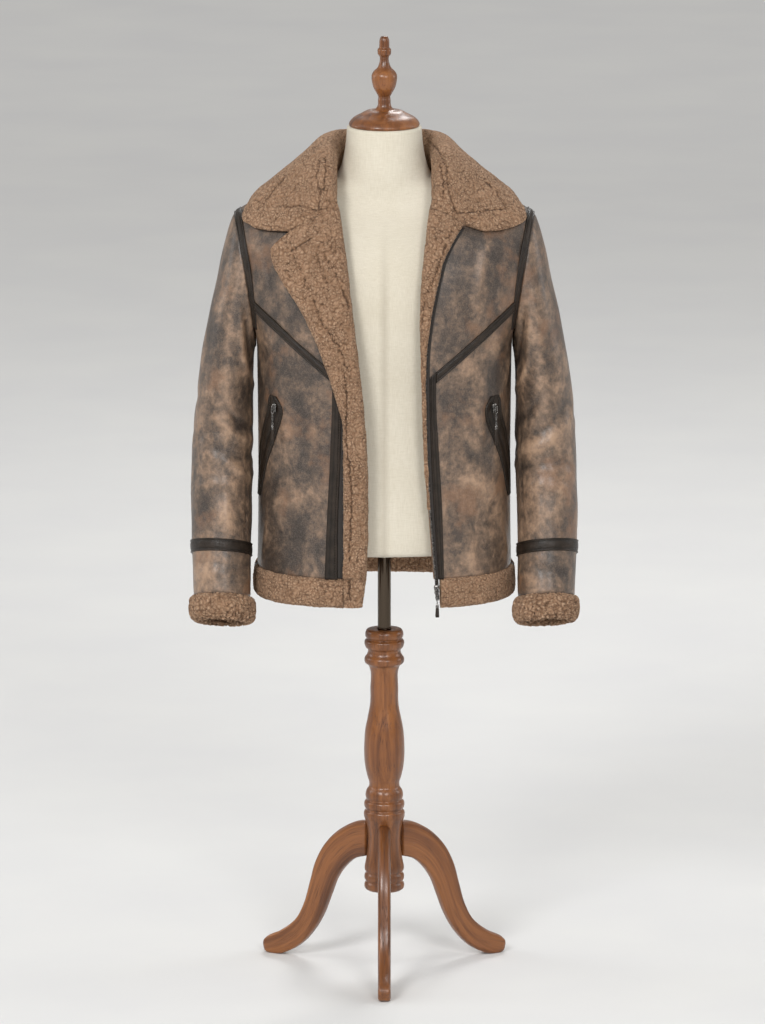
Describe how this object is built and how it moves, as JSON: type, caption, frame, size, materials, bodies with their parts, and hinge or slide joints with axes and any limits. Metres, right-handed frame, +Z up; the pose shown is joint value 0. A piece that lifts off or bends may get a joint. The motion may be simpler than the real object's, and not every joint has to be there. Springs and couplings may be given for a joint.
{
  "type": "shearling coat on dress form",
  "caption": "Hip-length shearling flying coat worn open on a limbless linen dress form, on a pole that slides in a turned wooden stand.",
  "frame": {"origin": "on the floor, at the middle of the whole box's footprint; the pole's axis is at x 0, y 0.036", "axes": "+Z up, the coat's front towards -Y, the wearer's left at +X"},
  "size_m": [0.6018, 0.3661, 1.473],
  "materials": {
    "leather": "distressed satin, mottled brown",
    "dark_leather": "smooth, semi-gloss",
    "fleece": "short curled sheepskin wool",
    "zip_tape": "woven, matte",
    "zip_metal": "antique nickel",
    "linen": "plain woven, matte",
    "wood": "stained and varnished",
    "chrome": "polished"
  },
  "bodies": {
    "stand": {"column": "wood", "leg_1": "wood", "leg_2": "wood", "leg_3": "wood"},
    "form_and_coat": {"armhole_strip_L": "dark_leather", "armhole_strip_R": "dark_leather", "back": "leather", "back_hem_fur": "fleece", "collar": "fleece", "cuff_L": "leather", "cuff_R": "leather", "cuff_band_L": "dark_leather", "cuff_band_R": "dark_leather", "cuff_fur_L": "fleece", "cuff_fur_R": "fleece", "front_L_lower": "leather", "front_L_yoke": "leather", "front_R_lower": "leather", "front_R_yoke": "leather", "hem_fur_L": "fleece", "hem_fur_R": "fleece", "hem_tab_L": "dark_leather", "hem_tab_R": "dark_leather", "lapel_L": "fleece", "lapel_R": "fleece", "neck_cap": "wood", "placket_strip_L": "dark_leather", "placket_strip_R": "dark_leather", "pocket_welt_L": "dark_leather", "pocket_welt_R": "dark_leather", "pole": "chrome", "sleeve_L": "leather", "sleeve_R": "leather", "torso": "linen", "yoke_strip_L": "dark_leather", "yoke_strip_R": "dark_leather", "zip_L": "zip_tape", "zip_slider_L": "zip_metal", "zip_slider_R": "zip_metal", "zip_slider_front": "zip_metal"},
    "pull_front": {"zip_pull_front": "zip_metal"},
    "pull_R": {"zip_pull_R": "zip_metal"},
    "pull_L": {"zip_pull_L": "zip_metal"}
  },
  "joints": [
    {"name": "height_slide", "type": "slide", "parent": "stand", "child": "form_and_coat", "axis": [0, 0, 1], "range_m": [-0.11, 0.14]},
    {"name": "pull_front_hinge", "type": "hinge", "parent": "form_and_coat", "child": "pull_front", "pos_m": [0.08122, -0.10644, 0.63522], "axis": [-0.9819, -0.1892, 0], "range_deg": [0, 110]},
    {"name": "pull_R_hinge", "type": "hinge", "parent": "form_and_coat", "child": "pull_R", "pos_m": [-0.17208, -0.06624, 0.91183], "axis": [-0.6843, 0.7292, 0], "range_deg": [0, 110]},
    {"name": "pull_L_hinge", "type": "hinge", "parent": "form_and_coat", "child": "pull_L", "pos_m": [0.17208, -0.06624, 0.91183], "axis": [-0.6843, -0.7292, 0], "range_deg": [0, 110]}
  ]
}
